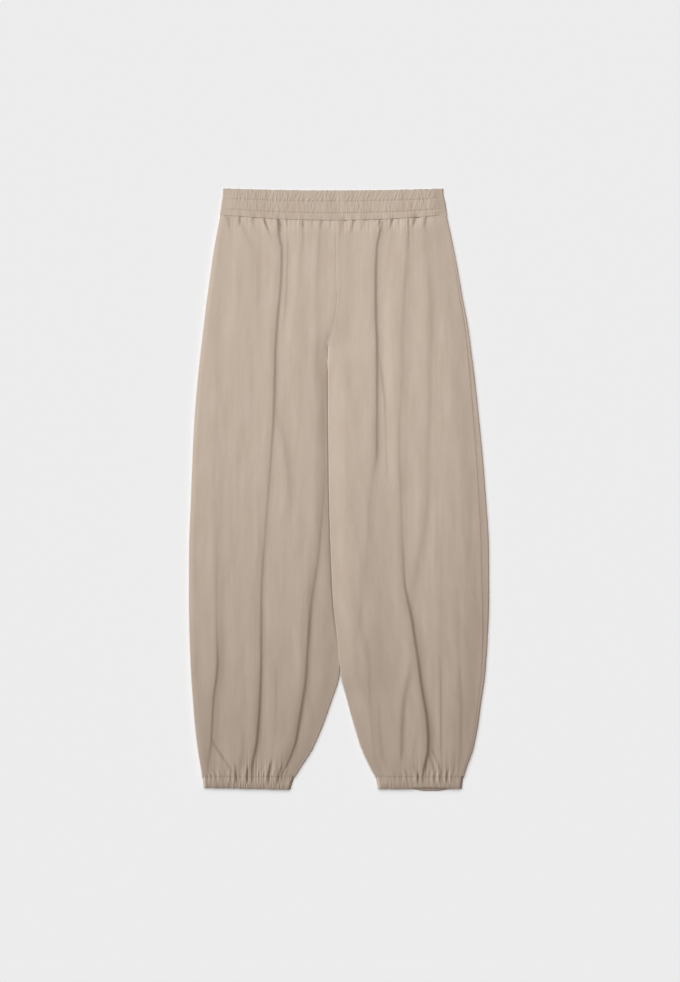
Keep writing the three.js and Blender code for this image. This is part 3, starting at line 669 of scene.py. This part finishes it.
def gridMesh(name, x, y, z, outwardUp, thickness, material):
    # a sheet of quads with its own width and length as UV, then its thickness put inwards
    rows, columns = x.shape
    points = np.stack([x, y + 0 * x, z], axis=-1) * mm
    index = np.arange(rows * columns).reshape(rows, columns)
    a, b, c, d = index[:-1, :-1], index[1:, :-1], index[1:, 1:], index[:-1, 1:]
    faces = np.stack([a, b, c, d] if outwardUp else [a, d, c, b], axis=-1).reshape(-1, 4)
    mesh = bpy.data.meshes.new(name)
    mesh.from_pydata(points.reshape(-1, 3).tolist(), [], faces.tolist())
    stride = np.hypot(np.diff(x, axis=1), np.diff(z, axis=1))
    width = np.concatenate([np.zeros((rows, 1)), np.cumsum(stride, axis=1)], axis=1)
    width = width - width[:, columns // 2][:, None]
    uv = np.stack([width, y + 0 * x], axis=-1).reshape(-1, 2) * mm
    corner = np.empty(len(mesh.loops), dtype=np.int32)
    mesh.loops.foreach_get("vertex_index", corner)
    layer = mesh.uv_layers.new(name="cloth")
    layer.data.foreach_set("uv", uv[corner].astype(np.float32).ravel())
    mesh.polygons.foreach_set("use_smooth", np.ones(len(mesh.polygons), dtype=bool))
    mesh.materials.append(material)
    piece = addObject(name, mesh)
    wall = piece.modifiers.new("wall", "SOLIDIFY")
    wall.thickness = thickness * mm
    wall.offset = -1
    wall.use_even_offset = False
    return piece


def settle(piece):
    # turns the modifiers into a plain mesh
    graph = bpy.context.evaluated_depsgraph_get()
    plain = bpy.data.meshes.new_from_object(piece.evaluated_get(graph))
    plain.name = piece.name
    piece.modifiers.clear()
    piece.data = plain


def dress(pieces, nodes):
    # each piece as a plain mesh that stands for its node
    for piece, node in zip(pieces, nodes):
        settle(piece)
        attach(piece, "root")
        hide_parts(node)
    return pieces


# Materials

def linear(code):
    parts = [int(code[i:i + 2], 16) / 255 for i in (1, 3, 5)]
    return [p / 12.92 if p <= 0.04045 else ((p + 0.055) / 1.055) ** 2.4 for p in parts] + [1]


def addNode(tree, kind, settings=(), inputs=()):
    # one node with its settings, and its inputs as values or as links from other sockets
    node = tree.nodes.new(kind)
    for name, value in dict(settings).items():
        setattr(node, name, value)
    for key, value in dict(inputs).items():
        socket = node.inputs[key]
        if isinstance(value, bpy.types.NodeSocket):
            tree.links.new(value, socket)
        else:
            socket.default_value = value
    return node


def emptyMaterial(name):
    material = bpy.data.materials.new(name)
    material.use_nodes = True
    material.node_tree.nodes.clear()
    return material, material.node_tree


# Cotton poplin: a tight plain weave of fine yarns, washed soft, so it is matt with a faint
# sheen at grazing angles and a slightly uneven colour. Real yarns are 0.3 mm apart, too fine
# to show, so the weave is drawn 0.9 mm apart.
poplin = dict(light="#c6b6a7", dark="#bba998", weave=0.9, crinkle=2.2, roughness=0.86, sheen=0.25)


def poplinMaterial(name, style):
    material, tree = emptyMaterial(name)
    place = addNode(tree, "ShaderNodeTexCoord").outputs["UV"]
    # at scale 1 the bands of a wave texture are 2 pi / 20 apart
    waveScale = 2 * math.pi / 20 / (style["weave"] * mm)
    yarns = [addNode(tree, "ShaderNodeTexWave",
                     dict(wave_type="BANDS", bands_direction=way, wave_profile="SIN"),
                     {"Vector": place, "Scale": waveScale, "Distortion": 0.6,
                      "Detail": 1.0, "Detail Scale": 0.4}).outputs["Fac"] for way in ("X", "Y")]
    weave = addNode(tree, "ShaderNodeMath", dict(operation="MULTIPLY"),
                    {0: yarns[0], 1: yarns[1]}).outputs[0]
    stretched = addNode(tree, "ShaderNodeMapping", {}, {"Vector": place, "Scale": (1, 0.22, 1)})
    crinkle = addNode(tree, "ShaderNodeTexNoise", {},
                      {"Vector": stretched.outputs[0], "Scale": 1 / (style["crinkle"] * mm),
                       "Detail": 3.0, "Roughness": 0.55}).outputs["Fac"]
    mottle = addNode(tree, "ShaderNodeTexNoise", {},
                     {"Vector": stretched.outputs[0], "Scale": 55.0, "Detail": 3.0,
                      "Roughness": 0.6}).outputs["Fac"]
    shade = addNode(tree, "ShaderNodeMath", dict(operation="MULTIPLY_ADD"),
                    {0: weave, 1: 0.18, 2: mottle}).outputs[0]
    colour = addNode(tree, "ShaderNodeValToRGB", {}, {"Fac": shade})
    colour.color_ramp.elements[0].position = 0.25
    colour.color_ramp.elements[0].color = linear(style["dark"])
    colour.color_ramp.elements[1].position = 0.85
    colour.color_ramp.elements[1].color = linear(style["light"])
    wrinkled = addNode(tree, "ShaderNodeBump", {},
                       {"Strength": 0.35, "Distance": 0.35 * mm, "Height": crinkle})
    woven = addNode(tree, "ShaderNodeBump", {},
                    {"Strength": 0.5, "Distance": 0.08 * mm, "Height": weave,
                     "Normal": wrinkled.outputs[0]})
    shader = addNode(tree, "ShaderNodeBsdfPrincipled", {},
                     {"Base Color": colour.outputs["Color"], "Roughness": style["roughness"],
                      "IOR": 1.5, "Specular IOR Level": 0.3, "Sheen Weight": style["sheen"],
                      "Sheen Roughness": 0.5, "Normal": woven.outputs[0]})
    addNode(tree, "ShaderNodeOutputMaterial", {}, {"Surface": shader.outputs[0]})
    return material


legCloth = poplinMaterial("cotton poplin", poplin)
# The waistband is cut from the same poplin as the legs. Its two colours are made a little darker, as
# painted shade over the whole band.
bandClothPaintedShade = poplinMaterial("gathered cotton poplin",
                           dict(poplin, light="#c4b4a5", dark="#b8a695", crinkle=1.6))


# Spun polyester sewing thread: smooth and slightly glossy, a shade darker than the cloth
sewingThread = dict(dark="#a5927f", light="#b7a592", twist=500.0, roughness=0.55)


def threadMaterial():
    material, tree = emptyMaterial("spun polyester thread")
    place = addNode(tree, "ShaderNodeTexCoord").outputs["Object"]
    twist = addNode(tree, "ShaderNodeTexWave", dict(bands_direction="DIAGONAL"),
                    {"Vector": place, "Scale": sewingThread["twist"]}).outputs["Fac"]
    colour = addNode(tree, "ShaderNodeValToRGB", {}, {"Fac": twist})
    colour.color_ramp.elements[0].color = linear(sewingThread["dark"])
    colour.color_ramp.elements[1].color = linear(sewingThread["light"])
    shader = addNode(tree, "ShaderNodeBsdfPrincipled", {},
                     {"Base Color": colour.outputs["Color"],
                      "Roughness": sewingThread["roughness"]})
    addNode(tree, "ShaderNodeOutputMaterial", {}, {"Surface": shader.outputs[0]})
    return material


cuffCloth = poplinMaterial("gathered cotton poplin of the cuffs", dict(poplin, crinkle=1.6))
thread = threadMaterial()
print("materials made")


# Legs

def makeLeg(side):
    leg = legs[side]
    x, y, z = frontGrid(leg)
    front = gridMesh("front_panel_" + side, x, y - dipAt(x, y), z, True, garment["cloth"], legCloth)
    x, y, z = backGrid(leg)
    back = gridMesh("back_panel_" + side, x, y - dipAt(x, y), z, False, garment["cloth"], legCloth)
    return dress((front, back), ("front_leg_" + side, "back_leg_" + side))


leftFront, leftBack = makeLeg("left")
rightFront, rightBack = makeLeg("right")
print("legs made")

# Waistband: rows down its height, its two side edges, the height of its face and of its
# gathers. Share 1 is the top edge of the ruffled header and 0 is the waist seam.
waistband = dict(
    rows=tableOf(
        "y left right height gather",
        (1, -192.3, 172.9, 4.8, 0.34), (0.85, -192.6, 173, 5.6, 0.46),
        (0.7, -193, 173.8, 5.9, 0.58), (0.62, -193.6, 174.8, 5.8, 0.42),
        (0.54, -194.4, 175.8, 6.2, 0.34), (0.4, -195, 176.8, 6.5, 0.34),
        (0.3, -195.6, 177.3, 6.4, 0.34), (0.225, -196, 178, 6, 0.28),
        (0.13, -196.6, 178.6, 6.2, 0.22), (0, -197.4, 179.2, 6, 0.2)),
    columns=620, lines=72, sideRound=2.2,
    overlap=1.6,                       # how far its lower edge lies over the legs
    stitchShares=(0.62, 0.225),
    groove=0.9, grooveHalf=0.05,       # how deep and wide a stitch row pulls the cloth in
    grooveCurve=1.5,
    seamShare=0.3, seamRaise=0.5,      # its lowest part comes down onto the legs
    seamSpots=(-197, 179, 190), softenings=6,
    headerShare=0.66, ruffle=0.45, ruffleCell=3,
    slant=0.35, slantChange=0.4, slantCell=21,          # lean of the header's ribs
    ribCells=(1.9, 1.1), ribTall=(9, 6), ribShares=(0.7, 0.4),
    calmEnd=26, calmShare=0.12, endHeight=0.7,          # its ends are low and nearly plain
    edgeShare=0.05, lowerRound=0.4, upperRound=0.8,     # its two rounded edges
    backColumns=170, backLines=12, seed=41,
)


def waistbandY(x, share):
    seam = garment["waistSeamY"] - waistband["overlap"] - dipAt(x, garment["waistSeamY"])
    top = garment["waistSeamY"] + garment["bandHeight"] - garment["headerDip"] * middleness(x)
    return mix(seam, top, share)


def seamHeight(x):
    # smoothed height of the legs' cloth at the waist seam, which the band's edge lies on
    spots = np.linspace(*waistband["seamSpots"])
    y = np.array([[garment["waistSeamY"] - meshForm["nearSeam"][-1]]])
    left, right = (frontHeight(leg, sectionOf(leg, y), spots)[0] for leg in legs.values())
    heights = np.where(spots < garment["centreX"], left, right)
    return np.interp(x, spots, softened(heights, waistband["softenings"]))


def waistbandPoint(part, share):
    # place on the band's face: part runs from its left edge to its right one
    style = waistband
    rows, seed = style["rows"], style["seed"]
    left, right = along(rows, "left", share), along(rows, "right", share)
    x = mix(left, right, part)
    toSide = np.minimum(x - left, right - x)
    inside, fromEnd = smooth(toSide / style["sideRound"]), smooth(toSide / style["calmEnd"])
    header = clamp((share - style["headerShare"]) / (1 - style["headerShare"]))
    y = waistbandY(x, share)
    # the header's ribs lean, each stretch of it by another angle
    lean = x - header * garment["bandHeight"] * (1 - style["headerShare"]) * (
        style["slant"] + style["slantChange"] * softNoise(x, 0 * x, style["slantCell"], 1, seed))
    ribs = sum(style["ribShares"][i] * softNoise(
        lean, y, style["ribCells"][i], style["ribTall"][i], seed + 1 + i) for i in (0, 1))
    calm = mix(style["calmShare"], 1, fromEnd)
    height = along(rows, "height", share) + along(rows, "gather", share) * ribs * calm
    toLegs = seamHeight(x) + style["seamRaise"] - along(rows, "height", 0 * share)
    height = height + smooth(1 - share / style["seamShare"]) * toLegs
    for row in style["stitchShares"]:
        dent = clamp(1 - np.abs(share - row) / style["grooveHalf"])
        height = height - style["groove"] * dent ** style["grooveCurve"]
    edge = style["edgeShare"]
    height = height - style["lowerRound"] * clamp(1 - share / edge) ** 2
    height = height - style["upperRound"] * clamp((share - (1 - edge)) / edge) ** 2
    least = garment["bandLayer"] + garment["seamGap"] + garment["cloth"]
    height = mix(least + style["endHeight"], height, fromEnd)
    ruffle = softNoise(x, 0 * x, style["ruffleCell"], 1, seed + 3)
    return x, y + style["ruffle"] * header ** 2 * ruffle * inside, mix(least, height, inside)


def makeWaistband():
    style = waistband
    part = np.linspace(0, 1, style["columns"])[None, :]
    share = np.linspace(1, 0, style["lines"])[:, None]
    x, y, z = waistbandPoint(part, share)
    front = gridMesh("waistband_face", x, y, z, True, garment["cloth"], bandClothPaintedShade)
    share = np.linspace(1, 0, style["backLines"])[:, None]
    part = np.linspace(0, 1, style["backColumns"])[None, :]
    x, y, _ = waistbandPoint(part, share)
    y = y + (style["overlap"] + garment["seamGap"]) * (1 - share)
    z = 0 * x
    back = gridMesh("waistband_rear", x, y, z, False, garment["bandLayer"], bandClothPaintedShade)
    return dress((front, back), ("waistband_front", "waistband_back"))


bandFront, bandBack = makeWaistband()
print("waistband made")

# Cuffs: x of their corners, and how far each half reaches below the cuff seam at its ends
cuffs = {
    "left": dict(top=(-226.3, -74.4), bottom=(-224.4, -80.7), front=(16.6, 19.6),
                 back=(16.2, 19), seed=61, drop=0, gathers=0.85),
    "right": dict(top=(61.2, 206.2), bottom=(65, 203.6), front=(18.6, 18.6),
                  back=(18.2, 18.2), seed=71, drop=4, gathers=0.6),
}
cuffForm = dict(
    rows=tableOf("y height gather", (1, 6.4, 0.3), (0.85, 6.8, 0.36), (0.5, 6.8, 0.42),
                 (0.2, 6.2, 0.42), (0, 4.8, 0.3)),
    columns=260, lines=30, backColumns=80, backLines=8, sideRound=4,
    stitchShare=0.84, groove=0.5, grooveHalf=0.09, grooveCurve=1.5,
    overlap=1.6, followed=(0.25, 0.6),      # its upper part takes the height of the leg's cloth
    seamAway=2.5, seamSpots=240,
    seamRaise=0.35, ribShare=0.3, seamRound=0.25, seamEdge=0.06,
    ribCells=(2.1, 1.3), ribTall=(15, 9), ribShares=(1.5, 0.35), ribSink=0.5,
    wave=0.6, waveCell=4,                   # of its bottom edge
    dropMiddle=153, dropHalf=38,            # where the right back hangs lower
    slitWidth=1.6, slitRise=0.9, slitReach=0.5, lip=0.15, slitLip=2.75, lipShare=0.15, lipCurve=1.2,
)


def cuffSeamHeight(side, x):
    # height of the leg's cloth at the cuff seam
    leg, cuff = legs[side], cuffs[side]
    inset = legForm["outseamRadius"]
    spots = np.linspace(cuff["top"][0] + inset, cuff["top"][1] - inset, cuffForm["seamSpots"])
    y = np.array([[garment["cuffSeamY"] + cuffForm["seamAway"]]])
    return np.interp(x, spots, softened(frontHeight(leg, sectionOf(leg, y), spots)[0], 1))


def cuffPoint(side, part, share):
    # place on a cuff's face: share is 1 at the cuff seam and 0 at the bottom edge
    cuff, style = cuffs[side], cuffForm
    down, seed = 1 - share, cuff["seed"]
    left, right = (mix(cuff["top"][i], cuff["bottom"][i], down) for i in (0, 1))
    x = mix(left, right, part)
    inside = smooth(np.minimum(x - left, right - x) / style["sideRound"])
    reach = mix(*cuff["front"], part) + garment["seamGap"]
    y = garment["cuffSeamY"] + style["overlap"] * share - reach * down
    # narrow valleys between round ribs
    wide, narrow = (softNoise(x, y, style["ribCells"][i], style["ribTall"][i], seed + i)
                    for i in (0, 1))
    ribs = style["ribShares"][0] * np.abs(wide) - style["ribSink"] + style["ribShares"][1] * narrow
    ribs = ribs * cuff["gathers"]
    height = along(style["rows"], "height", share) + along(style["rows"], "gather", share) * ribs
    # its top edge lies on the leg and follows the leg's gathers
    onLeg = cuffSeamHeight(side, x) + style["seamRaise"] + style["ribShare"] * ribs
    height = mix(height, onLeg, above(share, style["followed"]))
    dent = clamp(1 - np.abs(share - style["stitchShare"]) / style["grooveHalf"])
    height = height - style["groove"] * dent ** style["grooveCurve"]
    # the bottom edge, which hangs open where the back shows below it
    slit = clamp(1 - np.abs(x - style["dropMiddle"]) / style["dropHalf"])
    slit = smooth(style["slitWidth"] * slit) * (cuff["drop"] > 0)
    height = height + style["slitRise"] * slit * smooth(1 - share / style["slitReach"])
    edge = style["seamEdge"]
    height = height - style["seamRound"] * clamp((share - (1 - edge)) / edge) ** 2
    lip = style["lip"] + style["slitLip"] * slit
    height = height - lip * clamp(1 - share / style["lipShare"]) ** style["lipCurve"]
    least = garment["bandLayer"] + garment["seamGap"] + garment["cloth"]
    wave = softNoise(x, 0 * x, style["waveCell"], 1, seed + 2)
    return x, y + style["wave"] * down ** 2 * wave * inside, mix(least, height, inside)


def makeCuff(side):
    cuff, style = cuffs[side], cuffForm
    part = np.linspace(0, 1, style["columns"])[None, :]
    share = np.linspace(1, 0, style["lines"])[:, None]
    x, y, z = cuffPoint(side, part, share)
    front = gridMesh("cuff_face_" + side, x, y, z, True, garment["cloth"], cuffCloth)
    part = np.linspace(0, 1, style["backColumns"])[None, :]
    down = np.linspace(0, 1, style["backLines"])[:, None]
    x = mix(mix(*cuff["top"], part), mix(*cuff["bottom"], part), down)
    away = clamp(1 - np.abs(x - style["dropMiddle"]) / style["dropHalf"])
    reach = mix(*cuff["back"], part) + cuff["drop"] * smooth(1.4 * away)
    y = garment["cuffSeamY"] - garment["seamGap"] - reach * down
    back = gridMesh("cuff_rear_" + side, x, y, 0 * x, False, garment["bandLayer"], cuffCloth)
    return dress((front, back), ("cuff_front_" + side, "cuff_back_" + side))


leftCuff, leftCuffBack = makeCuff("left")
rightCuff, rightCuffBack = makeCuff("right")
print("cuffs made")

# Stitches: one short bead of thread for each, along the rows that hold the elastic
stitch = dict(pitch=3.0, length=2.3, thickness=0.42, sink=0.1, ends=0.012,
              waistPoints=360, cuffPoints=150)


def stitchTree():
    tree = bpy.data.node_groups.new("stitch row", "GeometryNodeTree")
    face = tree.interface
    face.new_socket("Geometry", in_out="INPUT", socket_type="NodeSocketGeometry")
    for name in ("Pitch", "Stitch length", "Thread thickness"):
        face.new_socket(name, in_out="INPUT", socket_type="NodeSocketFloat")
    face.new_socket("Thread", in_out="INPUT", socket_type="NodeSocketMaterial")
    face.new_socket("Geometry", in_out="OUTPUT", socket_type="NodeSocketGeometry")
    given = addNode(tree, "NodeGroupInput").outputs
    path = addNode(tree, "GeometryNodeMeshToCurve", {}, {"Mesh": given["Geometry"]})
    spaced = addNode(tree, "GeometryNodeResampleCurve", dict(mode="LENGTH"),
                     {"Curve": path.outputs[0], "Length": given["Pitch"]})
    bead = addNode(tree, "GeometryNodeMeshIcoSphere", {}, {"Radius": 0.5, "Subdivisions": 1})
    size = addNode(tree, "ShaderNodeCombineXYZ", {},
                   {"X": given["Stitch length"], "Y": given["Thread thickness"],
                    "Z": given["Thread thickness"]})
    tangent = addNode(tree, "GeometryNodeInputTangent")
    turn = addNode(tree, "FunctionNodeAlignRotationToVector", dict(axis="X"),
                   {"Vector": tangent.outputs[0]})
    placed = addNode(tree, "GeometryNodeInstanceOnPoints", {},
                     {"Points": spaced.outputs[0], "Instance": bead.outputs["Mesh"],
                      "Rotation": turn.outputs[0], "Scale": size.outputs[0]})
    real = addNode(tree, "GeometryNodeRealizeInstances", {}, {"Geometry": placed.outputs[0]})
    coated = addNode(tree, "GeometryNodeSetMaterial", {},
                     {"Geometry": real.outputs[0], "Material": given["Thread"]})
    addNode(tree, "NodeGroupOutput", {}, {"Geometry": coated.outputs[0]})
    return tree


def makeStitches(name, rows):
    # rows are lists of points on the cloth
    points, edges = [], []
    for row in rows:
        first = len(points)
        points += [tuple(p * mm for p in point) for point in row]
        edges += [(first + i, first + i + 1) for i in range(len(row) - 1)]
    mesh = bpy.data.meshes.new(name)
    mesh.from_pydata(points, edges, [])
    piece = addObject(name, mesh)
    tree = bpy.data.node_groups.get("stitch row") or stitchTree()
    sewing = piece.modifiers.new("stitches", "NODES")
    sewing.node_group = tree
    values = {"Pitch": stitch["pitch"] * mm, "Stitch length": stitch["length"] * mm,
              "Thread thickness": stitch["thickness"] * mm, "Thread": thread}
    for item in tree.interface.items_tree:
        if item.in_out == "INPUT" and item.name in values:
            sewing[item.identifier] = values[item.name]
    settle(piece)
    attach(piece, "root")


def surfaceRow(pointAt, share, count):
    parts = np.linspace(stitch["ends"], 1 - stitch["ends"], count)
    x, y, z = pointAt(parts, np.full(count, share))
    return list(zip(x.tolist(), y.tolist(), (z - stitch["sink"]).tolist()))


def cuffRow(side):
    return surfaceRow(lambda part, share: cuffPoint(side, part, share),
                      cuffForm["stitchShare"], stitch["cuffPoints"])


makeStitches("waistband_stitches", [surfaceRow(waistbandPoint, share, stitch["waistPoints"])
                                    for share in waistband["stitchShares"]])
for side in ("left", "right"):
    makeStitches("cuff_stitches_" + side, [cuffRow(side)])
print("stitches made")

# Floor, light and camera
studio = dict(
    floor="#ebebeb", floorSize=9.0,
    floorWash=3.5, washPlace=(-0.25, 0.75, 1.3), washSpread=75,     # even light on the floor
    sky=0.12, skyColour="#ffd6b3",              # soft warm light from all round
    lampColour="#f7fcff",                       # the lamps are cooler
    sidePower=2.8, sideSpread=26,               # broad window light from the left
    sidePlace=(-1.5, 0.3, 0.75),
    topPlace=(0, 0.62, 2.0), topAim=(0, 0.24, 0),   # soft lamp over the thighs
    topPower=94, topRadius=0.35, topCone=55.4,
    lowPlace=(-0.15, -0.8, 1.2), lowAim=(-0.13, -0.72, 0),  # weak warm lamp over the ankles
    lowPower=1.2, lowRadius=0.3, lowCone=56, warm="#ffc890",
    lens=100, frameHeight=1.630, lookAt=(0.0017, -0.0023),
)


def makeFloor():
    half = studio["floorSize"] / 2
    mesh = bpy.data.meshes.new("floor")
    mesh.from_pydata([(-half, -half, 0), (half, -half, 0), (half, half, 0), (-half, half, 0)],
                     [], [(0, 1, 2, 3)])
    floor = addObject("floor", mesh)
    material = bpy.data.materials.new("matt painted board")
    material.use_nodes = True
    shader = material.node_tree.nodes["Principled BSDF"]
    shader.inputs["Base Color"].default_value = linear(studio["floor"])
    shader.inputs["Roughness"].default_value = 0.9
    mesh.materials.append(material)
    return floor


def aimed(thing, place, target):
    thing.location = place
    away = [target[i] - place[i] for i in range(3)]
    flat = math.hypot(away[0], away[1])
    thing.rotation_euler = (math.atan2(flat, -away[2]), 0, math.atan2(-away[0], away[1]))


def makeLamp(name, kind, place, target, energy, lit):
    # a lamp that lights only the pieces in one collection
    light = bpy.data.lights.new(name, kind)
    light.energy = energy
    light.color = linear(studio["lampColour"])[:3]
    lamp = addObject(name, light)
    aimed(lamp, place, target)
    lamp.light_linking.receiver_collection = lit
    return light


def makeStudio(floor):
    world = bpy.data.worlds.new("soft studio")
    world.use_nodes = True
    glow = world.node_tree.nodes["Background"].inputs
    glow["Color"].default_value = linear(studio["skyColour"])
    glow["Strength"].default_value = studio["sky"]
    bpy.context.scene.world = world
    ground, cloth = (bpy.data.collections.new(name) for name in ("lit floor", "lit cloth"))
    ground.objects.link(floor)
    for piece in bpy.context.scene.collection.objects:
        if piece.type == "MESH" and piece != floor:
            cloth.objects.link(piece)
    middle = (0, 0, 0)
    wash = makeLamp("floor wash", "SUN", studio["washPlace"], middle, studio["floorWash"], ground)
    side = makeLamp("side window", "SUN", studio["sidePlace"], middle, studio["sidePower"], cloth)
    wash.angle = math.radians(studio["washSpread"])
    side.angle = math.radians(studio["sideSpread"])
    for name, key in (("lamp over the thighs", "top"), ("lamp over the ankles", "low")):
        lamp = makeLamp(name, "SPOT", studio[key + "Place"], studio[key + "Aim"],
                        studio[key + "Power"], cloth)
        lamp.shadow_soft_size = studio[key + "Radius"]
        lamp.spot_size = math.radians(studio[key + "Cone"])
        lamp.spot_blend = 1
    lamp.color = linear(studio["warm"])[:3]


def makeCamera():
    view = bpy.data.cameras.new("camera")
    view.lens = studio["lens"]
    view.sensor_fit = "AUTO"
    view.sensor_width = 36
    camera = addObject("camera", view)
    away = studio["frameHeight"] * studio["lens"] / view.sensor_width
    camera.location = (*studio["lookAt"], away)
    bpy.context.scene.camera = camera


makeStudio(makeFloor())
makeCamera()
bpy.context.scene.view_settings.view_transform = "Standard"
print("studio made")
